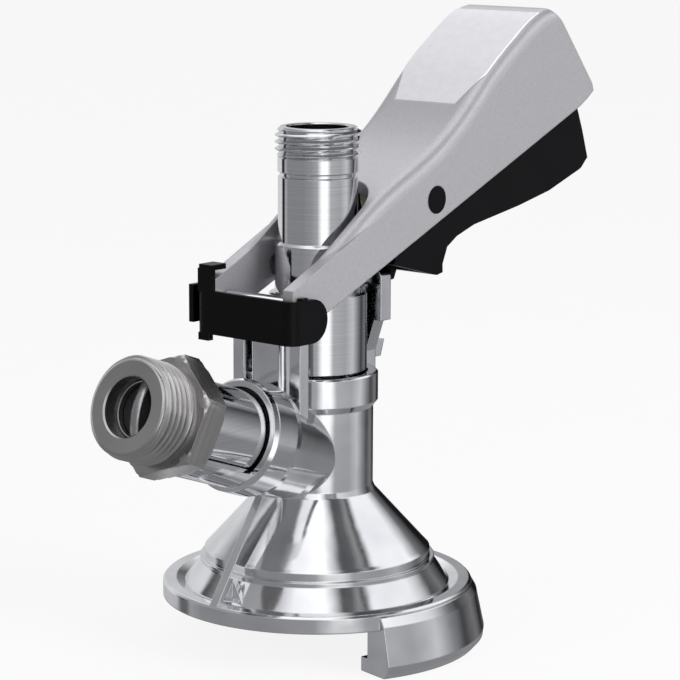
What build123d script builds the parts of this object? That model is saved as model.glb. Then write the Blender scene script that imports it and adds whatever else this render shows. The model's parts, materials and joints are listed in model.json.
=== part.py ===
from build123d import *
import os
from math import cos, sin, tan, radians, degrees, atan2, sqrt

# Slide-on keg coupler, lever up (closed).  Millimetres, +Z up.
# Origin: centre of the flange underside, where the coupler sits on the keg neck.
# Z is the probe axis, +X points to the hand lever, -X to the gas inlet.

# ---- fits -------------------------------------------------------------------
SLIDE_GAP = 0.1          # shaft in its guide bush, radial
TUBE_GAP = 0.35          # wide part of the probe in the collar, radial
PIVOT_GAP = 0.08         # pins in what turns on them, radial
SIDE_GAP = 0.3           # between the side faces of moving pieces
STUD_GAP = 0.45          # drive studs in the arm slots, for the tilt of the slots
SEAT_GAP = 0.05          # rings and bushes in their seats

# ---- body casting -----------------------------------------------------------
FLANGE_R = 41.6
FLANGE_RIM_H = 4.8
GROOVE_R = 35.5          # foot of the hollow between rim and shoulder
GROOVE_DIP = 0.8
SHOULDER_R = 30.3
SHOULDER_Z = 13.9
SHOULDER_BAND = 3.0
BAND_STEP = 1.2
NECK_R = 14.9
NECK_Z = 30.0            # top of the cone
COLLAR_R = 16.15
COLLAR_Z0 = 53.6
COLLAR_Z1 = 61.4
COLLAR_CHAMFER = 1.6
CHAMBER_R = 26.0         # gas chamber mouth inside the cone
CHAMBER_WALL = 3.6
BORE_R = 9.6             # round the probe shaft, below the bush

# slide-on hook: a skirt over the +X half with an inward lip
HOOK_R = 45.2
HOOK_TURN = -12.0        # the hook opens away from this direction, degrees from +X
HOOK_END_X = -10.2       # plane of the two open ends, before the turn
HOOK_DROP = 12.1         # lip underside below the seat
LIP_H = 3.8
KEG_RIM_R = 35.2         # inner side of the skirt
LIP_R = 32.6             # inner side of the lip
SHOE_STEP = 0.3          # rebate under the flange that the shoe seats in
SHOE_RELIEF = 0.6        # the rebate starts this far inside the skirt
HOOK_SPREAD = 115        # degrees each way from +X that the skirt is turned before its ends are cut

# ---- gas inlet --------------------------------------------------------------
INLET_TILT = 19.2        # degrees above level
INLET_Z = 37.4           # height where the inlet axis meets the probe axis
BOSS_ROOT_R = 12.6       # where the boss leaves the neck
BOSS_R = 15.0
BOSS_FLARE_L = 25.0
BOSS_L = 35.5            # mouth of the boss
MOUTH_R = 12.6
MOUTH_DEPTH = 3.0
CRADLE_R = 14.0          # tongue of the casting below the nipple's neck
CRADLE_WALL = 1.8
CRADLE_ANGLE = 48.0      # degrees each way from straight below
INLET_BORE_R = 4.5
NIPPLE_THREAD_R = 26.44 / 2     # G 3/4 major diameter
NIPPLE_FACE_L = 75.8
NIPPLE_THREAD_LEN = 12.0
HEX_AF = 28.4
HEX_TURN = -10.0         # degrees, as the nipple was tightened
HEX_LEN = 7.6
SPIGOT_R = 10.2
SPIGOT_LEN = 9.0
NIPPLE_NECK_R = 11.8
NIPPLE_BORE_R = 7.7
NIPPLE_BORE_DEPTH = 14.0
NIPPLE_WAIST_R = 5.6
CAGE_DEPTH = 4.6         # web of the non-return valve below the nipple face
CAGE_T = 1.6
CAGE_BAR = 3.0
DISC_R = 6.9
DISC_T = 1.8
DISC_STEM_R = 1.3
GAS_VALVE_LIFT = 1.5
GAS_SPRING_WIRE = 0.6
WASHER_T = 1.4

# ---- lever pivot and front tower -------------------------------------------
PIVOT_X = -21.6
PIVOT_Z = 79.0
PIVOT_PIN_R = 3.0
BARREL_R = 5.2
TOWER_X = -20.4          # front face of the front tower
TOWER_T = 3.4
TOWER_W = 11.4
LEG_W = 3.7              # side legs of the front tower, below the ends of its barrel
LEG_FOOT_Z = 52.0
ARM_IN = 12.0            # inner face of an arm from the middle plane
ARM_OUT = 15.5
ARM_WALL = ARM_OUT - ARM_IN

# ---- rear tower with the latch lug -----------------------------------------
REAR_X = 15.8
REAR_T = 4.1
HEAD_W = 17.4
HEAD_Z0 = 73.2
HEAD_Z1 = 87.6
STEM_W0 = 7.0
STEM_W1 = 13.0
STEM_Z0 = 56.0
LUG_REACH = 48.0         # outer face of the lug from the lever pivot
LUG_Z0 = 62.0
LUG_Z1 = 66.5
LUG_W = 5.0

# ---- probe ------------------------------------------------------------------
LEVER_SWING = 30.0       # degrees from up to down
STUD_ANGLE = 28.0        # stud above the level of the pivot when the lever is up, degrees
PROBE_TRAVEL = -PIVOT_X * (tan(radians(STUD_ANGLE)) + tan(radians(LEVER_SWING - STUD_ANGLE)))
STUD_Z = PIVOT_Z - PIVOT_X * tan(radians(STUD_ANGLE))
STUD_R = 2.4
STUD_TIP = 14.0          # stud end from the middle plane
STUD_DEPTH = 2.2
SHAFT_R = 8.9
WIDE_R = 13.1
WIDE_TOP = 82.4
WIDE_BOTTOM = 60.9
COLLET_R = 11.4          # band that carries the studs
COLLET_TOP = 96.0
TUBE_R = 10.6
OUTLET_TOP = 126.3
OUTLET_THREAD_R = 22.91 / 2     # G 5/8 major diameter
OUTLET_THREAD_LEN = 8.0
OUTLET_GROOVE_Z = 113.8
OUTLET_BORE_R = 8.2
BEER_BORE_R = 5.0
NOSE_Z = 1.8             # lower end of the probe, lever up
BALL_R = 4.75
BALL_GAP = 1.2
BALL_LIFT = 3.0
CHAMBER_TOP = 20.0
NOSE_SEAT_R = 3.6
NOSE_H = 5.0
SEAL_R = 11.2
SEAL_H = 4.2
STOP_PIN_R = 0.9
BUSH_R = 12.0
BUSH_Z1 = 48.2
BUSH_H = 3.6
RING_WIRE = 1.0          # o-ring section radius
TAIL_SEAL_T = 1.5        # flat washer in the outlet mouth

# ---- keg seal ---------------------------------------------------------------
KEG_SEAL_R0 = 17.5
KEG_SEAL_R1 = 25.0
KEG_SEAL_H = 4.2
KEG_SEAL_PROUD = 1.0

# ---- lever ------------------------------------------------------------------
LOWER_SLOPE = 23.0       # degrees, lower edge of lever, lever up
LOWER_DROP = 2.0         # lower edge line below the pivot
LEVER_END_X = 93.7
NOSE_X = 100.4
NOSE_TOP_Z = 130.8
CROWN_X = 81.4
CROWN_Z = 154.2
ARM_END_X = -27.4
ARM_END_Z = 87.2
HANDLE_HALF = 17.2       # half width of the handle at its end
LEVER_WALL = 2.2
HOLLOW_LAP = 7.0         # the open underside starts this far inside the fork
RIDGE_ROUND = 4.0
CROTCH_X = 2.0
ARM_EYE_R = 5.6
MOUTH_RISE = 4.4         # top of the mouth in the handle's end, above its nose

# ---- trigger ----------------------------------------------------------------
TRIGGER_X = 30.0
TRIGGER_Z = 105.3
TRIGGER_PIN_R = 2.6
PIN_CAP_R = 3.8
PIN_CAP_T = 0.8
TRIGGER_HALF = ARM_OUT - LEVER_WALL
TRIGGER_FORK = 10.0      # inner half width of the fork that straddles the rear tower
TRIGGER_SQUEEZE = 6.0
TRIGGER_CATCH = 6.0
TOOTH_W = 4.0
TOOTH_REACH = LUG_REACH + 0.35
TOOTH_ANGLE = 5.6        # degrees above the pivot level, lever up
TOOTH_BITE = 1.4
TOOTH_T = 1.5
GRIP_WALL = 2.2
GRIP_ROUND = 1.2
GRIP_LOWER = [
    (16, 88.9), (34.4, 84.0), (36.9, 84.5), (36.8, 86.8), (38.8, 91.3), (43, 93.8), (50.6, 96.2),
    (71.2, 99.5), (85.4, 102.4), (102.4, 108.0), (104.8, 110.2), (102, 118.4), (99.2, 125.2),
]
GRIP_LID = 3.0           # how far the grip reaches up inside the handle
GRIP_LID_X = [92, 60]
GRIP_FRONT = [(44, 110.5), (27, 110.5), (22, 101)]
GRIP_HOLLOW = [(44, 98.2), (71, 102), (85, 104.9), (101, 110.2), (95.4, 132), (44, 120)]
SPRING_WIRE = 0.8
SPRING_R = 3.4
SPRING_HALF = 3.6        # half width of the spring's pocket
HUB_R = 7.5              # acetal hub that holds the spring
HUB_HALF = 5.0

# ---- strap ------------------------------------------------------------------
STRAP_FRONT_X = -29.4
STRAP_T = 1.4
STRAP_H = 11.4
STRAP_OUT = 17.2
STRAP_CORNER = 3.2

# ---- label plate ------------------------------------------------------------
LABEL_T = 0.6
LABEL_X0 = 44.5
LABEL_X1 = 77.0
LABEL_HALF = 14.4
LABEL_HALF_LOW = 10.5


def ring(r_out, r_in, z0, z1):
    """Flat ring round Z."""
    solid = Pos(0, 0, (z0 + z1) / 2) * Cylinder(r_out, z1 - z0)
    if r_in > 0:
        solid -= Pos(0, 0, (z0 + z1) / 2) * Cylinder(r_in, (z1 - z0) * 2)
    return solid


def turned(points):
    """Solid of revolution round Z from (radius, height) points."""
    outline = make_face(Plane.XZ * Polyline(*points, close=True))
    return revolve(outline, Axis.Z, 360)


def side_plate(points, y0, y1):
    """Prism between two Y planes from (x, z) points."""
    outline = make_face(Plane.XZ * Polyline(*points, close=True))
    return Pos(0, y1, 0) * extrude(outline, y1 - y0, dir=(0, -1, 0))


def cross_pin(x, z, r, y0, y1):
    """Cylinder along Y between two Y planes."""
    return Pos(x, (y0 + y1) / 2, z) * Rot(90, 0, 0) * Cylinder(r, y1 - y0)


def both_sides(solid):
    """The solid with its mirror image in the middle plane."""
    return solid + mirror(solid, Plane.XZ)


def about_pivot(reach, angle):
    """Point (x, z) at a distance and an angle from the lever pivot."""
    return (PIVOT_X + reach * cos(radians(angle)), PIVOT_Z + reach * sin(radians(angle)))


INLET = Plane(
    origin=(0, 0, INLET_Z),
    x_dir=(0, -1, 0),
    z_dir=(-cos(radians(INLET_TILT)), 0, sin(radians(INLET_TILT))),
)


def inlet_ring(r_out, r_in, l0, l1):
    """Ring round the inlet axis between two distances from the probe axis."""
    return INLET * ring(r_out, r_in, l0, l1)


def lower_edge(x):
    """Height of the lever's lower edge line at x."""
    return PIVOT_Z - LOWER_DROP + (x - PIVOT_X) * tan(radians(LOWER_SLOPE))


# ---- body -------------------------------------------------------------------
def body_shell():
    band_foot = SHOULDER_Z - SHOULDER_BAND
    outline = [
        (BORE_R, 0), (FLANGE_R, 0), (FLANGE_R, FLANGE_RIM_H - 0.6), (FLANGE_R - 0.6, FLANGE_RIM_H),
        (GROOVE_R + 2.5, FLANGE_RIM_H), (GROOVE_R, FLANGE_RIM_H - GROOVE_DIP),
        (SHOULDER_R + BAND_STEP, band_foot - 1.2), (SHOULDER_R + BAND_STEP, band_foot),
        (SHOULDER_R, band_foot), (SHOULDER_R, SHOULDER_Z - 0.8), (SHOULDER_R - 0.8, SHOULDER_Z),
        (NECK_R + 0.6, NECK_Z - 0.7), (NECK_R, NECK_Z + 0.8),
        (NECK_R, COLLAR_Z0 - COLLAR_CHAMFER), (COLLAR_R, COLLAR_Z0), (COLLAR_R, COLLAR_Z1 - 0.5),
        (COLLAR_R - 0.5, COLLAR_Z1), (BORE_R, COLLAR_Z1),
    ]
    return turned(outline)


def body_cavities():
    chamber_top = NECK_Z - CHAMBER_WALL
    slope = (SHOULDER_R - NECK_R) / (NECK_Z - SHOULDER_Z)
    wide_r = BORE_R + 0.5 + (chamber_top - SHOULDER_Z) * slope * 0.75
    chamber = turned([
        (0, -1), (KEG_SEAL_R0 - 1.5, -1), (KEG_SEAL_R0 - 1.5, KEG_SEAL_H),
        (wide_r, KEG_SEAL_H + 3), (wide_r, SHOULDER_Z - 1), (BORE_R, chamber_top), (BORE_R, chamber_top + 6),
        (0, chamber_top + 6),
    ])
    seal_seat = ring(KEG_SEAL_R1, KEG_SEAL_R0 - 2, -1, KEG_SEAL_H - KEG_SEAL_PROUD)
    bore = ring(BORE_R, 0, chamber_top, COLLAR_Z1 + 1)
    bush_seat = ring(BUSH_R + SEAT_GAP, 0, BUSH_Z1 - BUSH_H, COLLAR_Z1 + 1)
    guide = ring(WIDE_R + TUBE_GAP, 0, BUSH_Z1, COLLAR_Z1 + 1)
    rebate = ring(FLANGE_R + 1, KEG_RIM_R - SHOE_RELIEF, -1, SHOE_STEP)
    return [chamber, seal_seat, bore, bush_seat, guide, rebate]


def hook_shoe():
    """Skirt and inward lip that slide over the keg neck's rim, seated under and round the flange."""
    skirt = make_face(Plane.XZ * Polyline(
        (LIP_R - 6, SHOE_STEP), (LIP_R - 6, -HOOK_DROP), (HOOK_R - 1.8, -HOOK_DROP), (HOOK_R - 0.2, -HOOK_DROP + 1.8),
        (HOOK_R, -HOOK_DROP + 3.6), (HOOK_R - 0.9, -4.2), (FLANGE_R + 1.5, 1.4), (FLANGE_R, FLANGE_RIM_H - 0.8),
        (FLANGE_R, SHOE_STEP), close=True,
    ))
    turned_skirt = Rot(0, 0, -HOOK_SPREAD) * revolve(skirt, Axis.Z, 2 * HOOK_SPREAD)
    reach = 2 * HOOK_R
    keep = Pos(HOOK_END_X + reach / 2, 0, 0) * Box(reach, 2 * reach, reach)
    solid = turned_skirt & keep
    solid -= slot_cut(KEG_RIM_R, -HOOK_DROP + LIP_H, 2 * SHOE_STEP)
    solid -= slot_cut(LIP_R, -HOOK_DROP - 1, -HOOK_DROP + LIP_H)
    return Rot(0, 0, HOOK_TURN) * solid


def slot_cut(half, z0, z1):
    """U-shaped space, open towards -X, between two heights."""
    mid = (z0 + z1) / 2
    run = Pos(-60, 0, mid) * Box(120, 2 * half, z1 - z0)
    return run + Pos(0, 0, mid) * Cylinder(half, z1 - z0)


def inlet_boss():
    """Flared boss with a rounded mouth and a tongue below the nipple's neck."""
    boss = turned([
        (0, 0), (BOSS_ROOT_R, 0), (BOSS_ROOT_R, 6), (BOSS_R - 0.4, BOSS_FLARE_L), (BOSS_R, BOSS_FLARE_L + 2),
        (BOSS_R, BOSS_L - 1.2), (BOSS_R - 0.9, BOSS_L), (0, BOSS_L),
    ])
    hex_l0 = NIPPLE_FACE_L - NIPPLE_THREAD_LEN - HEX_LEN
    section = make_face(Plane.XZ * Polyline(
        (CRADLE_R - CRADLE_WALL, BOSS_L - 2), (CRADLE_R, BOSS_L - 2), (CRADLE_R, hex_l0 - 1.6),
        (CRADLE_R - 0.6, hex_l0 - SIDE_GAP), (CRADLE_R - CRADLE_WALL, hex_l0 - SIDE_GAP), close=True,
    ))
    tongue = Rot(0, 0, -CRADLE_ANGLE) * revolve(section, Axis.Z, 2 * CRADLE_ANGLE)
    down = cradle_turn()
    return INLET * (boss + Rot(0, 0, down) * tongue)


def cradle_turn():
    """Angle in the inlet plane that points below the inlet axis."""
    below = INLET.to_local_coords(Vector(0, 0, INLET_Z - 10))
    return degrees(atan2(below.Y, below.X))


def inlet_rib():
    """Fin under the inlet, down the cone to the flange, with its small gusset."""
    fin = side_plate([
        (-12, INLET_Z), (-29, INLET_Z + 2), (-23.4, NECK_Z + 0.5), (-FLANGE_R + 0.6, FLANGE_RIM_H),
        (-FLANGE_R + 0.6, 1), (-SHOULDER_R + 2, 1), (-18, 14),
    ], -1.3, 1.3)
    gusset = Pos(-34.0, 0, 0) * Rot(0, 0, 90) * side_plate([(-6, 2), (6, 2), (0, 13)], -0.9, 0.9)
    return fin + gusset


def front_tower():
    plate = Pos(TOWER_X + TOWER_T / 2, 0, (INLET_Z + PIVOT_Z) / 2) * Box(TOWER_T, TOWER_W, PIVOT_Z - INLET_Z)
    plate = fillet(plate.edges().filter_by(Axis.Z).group_by(Axis.X)[0], 1.6)
    barrel = cross_pin(PIVOT_X, PIVOT_Z, BARREL_R, -ARM_IN + SIDE_GAP, ARM_IN - SIDE_GAP)
    web = side_plate([
        (TOWER_X + 1, 52), (TOWER_X + 1, 68), (-15.2, 60.5), (-13, 56), (-13, 50),
    ], -2.2, 2.2)
    leg_y = ARM_IN - SIDE_GAP - LEG_W / 2
    leg = Pos(TOWER_X + TOWER_T / 2, -leg_y, (LEG_FOOT_Z + PIVOT_Z) / 2) * Box(TOWER_T, LEG_W, PIVOT_Z - LEG_FOOT_Z)
    return plate + barrel + web + both_sides(leg)


def rear_tower():
    """Plate behind the probe with a wide head and the latch lug."""
    x1 = REAR_X + REAR_T
    head = Pos(REAR_X + REAR_T / 2, 0, (HEAD_Z0 + HEAD_Z1) / 2) * Box(REAR_T, HEAD_W, HEAD_Z1 - HEAD_Z0)
    head = fillet(head.edges().filter_by(Axis.X).group_by(Axis.Z)[-1], 3)
    outline = make_face(Plane.YZ * Polyline(
        (-STEM_W0 / 2, STEM_Z0), (STEM_W0 / 2, STEM_Z0), (STEM_W0 / 2, LUG_Z1 - 2),
        (STEM_W1 / 2, HEAD_Z0), (STEM_W1 / 2, HEAD_Z0 + 1), (-STEM_W1 / 2, HEAD_Z0 + 1),
        (-STEM_W1 / 2, HEAD_Z0), (-STEM_W0 / 2, LUG_Z1 - 2), close=True,
    ))
    stem = Pos(REAR_X, 0, 0) * extrude(outline, REAR_T, dir=(1, 0, 0))
    root = side_plate([
        (NECK_R - 1.0, 44), (x1, STEM_Z0 - 1), (x1, COLLAR_Z1 - 0.5), (COLLAR_R - 1.5, COLLAR_Z1 - 0.5),
    ], -STEM_W0 / 2, STEM_W0 / 2)
    lug_far = Pos(PIVOT_X, 0, PIVOT_Z) * Rot(90, 0, 0) * Cylinder(LUG_REACH, LUG_W)
    lug_box = Pos(x1 + 2, 0, (LUG_Z0 + LUG_Z1) / 2) * Box(8, LUG_W, LUG_Z1 - LUG_Z0)
    return head + stem + root + (lug_far & lug_box)


def coupler_body():
    solid = body_shell() + inlet_boss() + inlet_rib() + front_tower() + rear_tower()
    for cavity in body_cavities():
        solid -= cavity
    floor = BOSS_L - MOUTH_DEPTH
    solid -= inlet_ring(MOUTH_R, 0, floor, BOSS_L + 1)
    solid -= inlet_ring(SPIGOT_R + SEAT_GAP, 0, floor - SPIGOT_LEN - 1.5, BOSS_L)
    solid -= inlet_ring(INLET_BORE_R, 0, BORE_R * 0.5, BOSS_L)
    solid -= cross_pin(PIVOT_X, PIVOT_Z, PIVOT_PIN_R + PIVOT_GAP, -30, 30)
    return solid


def keg_seal():
    z0 = -KEG_SEAL_PROUD
    z1 = KEG_SEAL_H - KEG_SEAL_PROUD
    solid = ring(KEG_SEAL_R1 - SEAT_GAP, KEG_SEAL_R0, z0, z1)
    return chamfer(solid.faces().sort_by(Axis.Z)[0].edges(), 0.5)


def guide_bush():
    solid = ring(BUSH_R, SHAFT_R + SLIDE_GAP, BUSH_Z1 - BUSH_H, BUSH_Z1)
    groove_r = SHAFT_R + 2 * RING_WIRE + 2 * SEAT_GAP
    mid = BUSH_Z1 - BUSH_H / 2
    return solid - ring(groove_r, 0, mid - RING_WIRE - SEAT_GAP, mid + RING_WIRE + SEAT_GAP)


def shaft_ring():
    mid = BUSH_Z1 - BUSH_H / 2
    return Pos(0, 0, mid) * Torus(SHAFT_R + RING_WIRE + SEAT_GAP, RING_WIRE)


# ---- gas inlet --------------------------------------------------------------
def gas_nipple():
    hex_l0 = NIPPLE_FACE_L - NIPPLE_THREAD_LEN - HEX_LEN
    hex_l1 = hex_l0 + HEX_LEN
    outline = make_face(INLET * Pos(0, 0, hex_l0) * Rot(0, 0, 30 + HEX_TURN) * Wire.make_polygon(
        [(HEX_AF / 2 / cos(radians(30)) * cos(radians(60 * i)),
          HEX_AF / 2 / cos(radians(30)) * sin(radians(60 * i))) for i in range(6)]))
    nut = extrude(outline, HEX_LEN, dir=INLET.z_dir)
    corner = HEX_AF / 2 / cos(radians(30))
    cone = INLET * turned([
        (0, hex_l0), (corner - 1.6, hex_l0), (corner + 0.1, hex_l0 + 1), (corner + 0.1, hex_l1 - 1),
        (corner - 1.6, hex_l1), (0, hex_l1),
    ])
    floor = BOSS_L - MOUTH_DEPTH
    shoulder = floor + WASHER_T
    body = INLET * turned([
        (0, floor - SPIGOT_LEN), (SPIGOT_R, floor - SPIGOT_LEN), (SPIGOT_R, shoulder),
        (NIPPLE_NECK_R, shoulder), (NIPPLE_NECK_R, hex_l1 - 1),
        (NIPPLE_THREAD_R - 1.2, hex_l1 - 1), (NIPPLE_THREAD_R - 1.2, hex_l1 + 0.8),
        (NIPPLE_THREAD_R, hex_l1 + 1.6), (NIPPLE_THREAD_R, NIPPLE_FACE_L - 1.0),
        (NIPPLE_THREAD_R - 1.0, NIPPLE_FACE_L), (0, NIPPLE_FACE_L),
    ])
    solid = (nut & cone) + body
    solid -= inlet_ring(NIPPLE_BORE_R, 0, NIPPLE_FACE_L - NIPPLE_BORE_DEPTH, NIPPLE_FACE_L + 1)
    return solid - inlet_ring(NIPPLE_WAIST_R, 0, floor - SPIGOT_LEN - 1, NIPPLE_FACE_L)


def nipple_washer():
    floor = BOSS_L - MOUTH_DEPTH
    return inlet_ring(MOUTH_R - SEAT_GAP, SPIGOT_R + SEAT_GAP, floor, floor + WASHER_T)


def gas_valve_cage():
    l1 = NIPPLE_FACE_L - CAGE_DEPTH
    disc = ring(NIPPLE_BORE_R - SEAT_GAP, 0, l1 - CAGE_T, l1)
    window = ring(NIPPLE_BORE_R - 1.4, 0, l1 - 2 * CAGE_T, l1 + CAGE_T)
    bar = Pos(0, 0, l1) * Box(CAGE_BAR, 4 * NIPPLE_BORE_R, 8 * CAGE_T)
    skirt = ring(NIPPLE_BORE_R - SEAT_GAP, NIPPLE_BORE_R - 0.7, l1 - CAGE_T - 2.2, l1 - CAGE_T)
    return INLET * ((disc - (window - bar)) + skirt)


def gas_valve_disc():
    """Flap disc on a short stem, pressed to the web from inside; gas pushes it back."""
    l1 = NIPPLE_FACE_L - CAGE_DEPTH - CAGE_T - SEAT_GAP
    r = min(DISC_R, NIPPLE_BORE_R - 0.7 - SEAT_GAP)
    disc = ring(r - 0.1, 0, l1 - DISC_T, l1)
    return INLET * (disc + ring(DISC_STEM_R, 0, l1 - DISC_T - 3.2, l1 - DISC_T))


def coil(r, wire, pitch, height):
    """Compression spring as one swept wire along Z from the origin."""
    path = Helix(pitch, height, r)
    section = Plane(origin=path @ 0, z_dir=path % 0) * Circle(wire)
    return sweep(section, path)


def gas_valve_spring():
    l1 = NIPPLE_FACE_L - CAGE_DEPTH - CAGE_T - SEAT_GAP - DISC_T
    l0 = NIPPLE_FACE_L - NIPPLE_BORE_DEPTH
    wire = GAS_SPRING_WIRE / 2
    height = l1 - l0 - 2 * wire - 2 * SEAT_GAP
    return INLET * Pos(0, 0, l0 + wire + SEAT_GAP) * coil(NIPPLE_BORE_R - 1.1, wire, height / 3, height)


# ---- probe ------------------------------------------------------------------
def probe_tube():
    solid = turned([
        (NOSE_SEAT_R - 1, NOSE_Z), (SHAFT_R - 1.2, NOSE_Z), (SHAFT_R - 1.2, NOSE_Z + SEAL_H),
        (SHAFT_R, NOSE_Z + SEAL_H), (SHAFT_R, WIDE_BOTTOM), (WIDE_R - 1, WIDE_BOTTOM),
        (WIDE_R, WIDE_BOTTOM + 1), (WIDE_R, WIDE_TOP - 0.8), (WIDE_R - 0.8, WIDE_TOP),
        (COLLET_R, WIDE_TOP), (COLLET_R, COLLET_TOP - 0.7), (TUBE_R, COLLET_TOP),
        (TUBE_R, OUTLET_GROOVE_Z - 0.7), (TUBE_R - 0.5, OUTLET_GROOVE_Z - 0.4),
        (TUBE_R - 0.5, OUTLET_GROOVE_Z + 0.4), (TUBE_R + 0.1, OUTLET_GROOVE_Z + 0.7),
        (TUBE_R + 0.1, OUTLET_TOP - OUTLET_THREAD_LEN), (OUTLET_THREAD_R, OUTLET_TOP - OUTLET_THREAD_LEN + 0.8),
        (OUTLET_THREAD_R, OUTLET_TOP - 0.8), (OUTLET_THREAD_R - 0.8, OUTLET_TOP),
        (NOSE_SEAT_R - 1, OUTLET_TOP),
    ])
    solid -= ring(BEER_BORE_R, 0, NOSE_Z - 1, OUTLET_TOP + 1)
    solid -= ring(OUTLET_BORE_R, 0, OUTLET_TOP - 9, OUTLET_TOP + 1)
    solid -= ring(BALL_R + BALL_GAP, 0, NOSE_Z - 1, CHAMBER_TOP)
    for side in (-1, 1):
        y0, y1 = sorted((side * (COLLET_R - STUD_DEPTH), side * (COLLET_R + 2)))
        solid -= cross_pin(0, STUD_Z, STUD_R, y0, y1)
    stop_z = ball_z() + BALL_R + BALL_LIFT + STOP_PIN_R + SEAT_GAP
    return solid - cross_pin(0, stop_z, STOP_PIN_R, -SHAFT_R - 1, SHAFT_R + 1)


def ball_z():
    """Height of the ball's centre when it rests on the seat's edge."""
    rest = NOSE_SEAT_R - SEAT_GAP
    return NOSE_Z + NOSE_H + sqrt(BALL_R ** 2 - rest ** 2)


def nose_seat():
    """Soft insert in the lower end of the probe, which the ball closes."""
    solid = ring(BALL_R + BALL_GAP - SEAT_GAP, NOSE_SEAT_R, NOSE_Z, NOSE_Z + NOSE_H)
    return solid


def probe_seal():
    solid = ring(SEAL_R, SHAFT_R - 1.2 + SEAT_GAP, NOSE_Z, NOSE_Z + SEAL_H - SEAT_GAP)
    return fillet(solid.edges().filter_by(GeomType.CIRCLE).sort_by(SortBy.RADIUS)[-2:], 0.9)


def check_ball():
    return Pos(0, 0, ball_z()) * Sphere(BALL_R)


def ball_stop_pin():
    stop_z = ball_z() + BALL_R + BALL_LIFT + STOP_PIN_R + SEAT_GAP
    return cross_pin(0, stop_z, STOP_PIN_R, -SHAFT_R + 0.3, SHAFT_R - 0.3)


def drive_studs():
    stud = cross_pin(0, STUD_Z, STUD_R, -STUD_TIP, -COLLET_R + STUD_DEPTH)
    stud = chamfer(stud.faces().sort_by(Axis.Y)[0].edges(), 0.4)
    return both_sides(stud)


def outlet_washer():
    z0 = OUTLET_TOP - 9
    return ring(OUTLET_BORE_R - SEAT_GAP, BEER_BORE_R, z0, z0 + TAIL_SEAL_T)


# ---- lever ------------------------------------------------------------------
CROWN_POINTS = [(-14, 93.4), (7, 107.2), (28, 117.6), (43, 128.4), (54, 138.4), (67, 147.8), (CROWN_X, CROWN_Z)]


def crown_curve(drop=0.0):
    """The lever's S-shaped top edge in side view, lowered by drop."""
    return Spline([(x, z - drop) for x, z in CROWN_POINTS], tangents=[(1, 0.6), (1, 0.1)])


def crown_prism(drop, floor_line):
    """Prism below the lowered top edge, closed by straight lines through the floor points."""
    curve = crown_curve(drop)
    rest = Polyline(curve @ 1, *floor_line, curve @ 0)
    outline = make_face(Plane.XZ * Curve([curve, rest]))
    return Pos(0, 30, 0) * extrude(outline, 60, dir=(0, -1, 0))


def half_width(x):
    """Half width of the lever at x; it widens a little towards its end."""
    return ARM_OUT + (HANDLE_HALF - ARM_OUT) * (x - ARM_END_X) / (NOSE_X - ARM_END_X)


def lever_plan():
    return make_face(Polyline(
        (ARM_END_X - 1, ARM_OUT), (NOSE_X + 2, HANDLE_HALF), (NOSE_X + 2, -HANDLE_HALF),
        (ARM_END_X - 1, -ARM_OUT), close=True,
    ))


def lever_blank():
    floor_line = [
        (85.4, 149.8), (NOSE_X - 0.8, NOSE_TOP_Z + 1.6), (NOSE_X, NOSE_TOP_Z - 0.6),
        (LEVER_END_X + 3.6, lower_edge(LEVER_END_X) + 2), (LEVER_END_X, lower_edge(LEVER_END_X)),
        (PIVOT_X - 3, lower_edge(PIVOT_X - 3)), (ARM_END_X, PIVOT_Z), (ARM_END_X, ARM_END_Z),
    ]
    blank = crown_prism(0, floor_line) & extrude(lever_plan(), 200, dir=(0, 0, 1))
    ridges = [e for e in blank.edges() if abs(e.center().Y) > 10 and e.geom_type != GeomType.LINE]
    return fillet(ridges, RIDGE_ROUND)


def lever_hollow():
    """Open underside of the handle, with the mouth in its end that the trigger needs."""
    x0 = CROTCH_X + ARM_IN - HOLLOW_LAP
    drop = LEVER_WALL * 1.5
    under = crown_prism(drop, [(CROWN_X, 60), (CROWN_POINTS[0][0], 60)])
    under &= Pos(x0 + 50, 0, 120) * Box(100, 80, 160)
    tail = side_plate([
        (CROWN_X - 1, 60), (CROWN_X - 1, CROWN_Z - drop), (NOSE_X - 6.6, NOSE_TOP_Z + MOUTH_RISE),
        (NOSE_X + 5, NOSE_TOP_Z + MOUTH_RISE), (NOSE_X + 5, 60),
    ], -30, 30)
    half = ARM_OUT - LEVER_WALL
    return (under + tail) & Pos(60, 0, 120) * Box(200, 2 * half, 200)


def lever_yoke():
    fork = Pos(CROTCH_X - 40, 0, 100) * Box(80, 2 * ARM_IN, 120) + Pos(CROTCH_X, 0, 100) * Cylinder(ARM_IN, 120)
    eyes = both_sides(cross_pin(PIVOT_X, PIVOT_Z, ARM_EYE_R, -ARM_OUT, -ARM_IN))
    solid = lever_blank() + eyes - lever_hollow() - fork
    solid -= label_recess()
    solid -= cross_pin(PIVOT_X, PIVOT_Z, PIVOT_PIN_R, -30, 30)
    solid -= cross_pin(TRIGGER_X, TRIGGER_Z, TRIGGER_PIN_R, -30, 30)
    seat = half_width(TRIGGER_X) - PIN_CAP_T
    solid -= both_sides(cross_pin(TRIGGER_X, TRIGGER_Z, PIN_CAP_R, -30, -seat))
    return solid - arm_slot(-1) - arm_slot(1)


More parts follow.
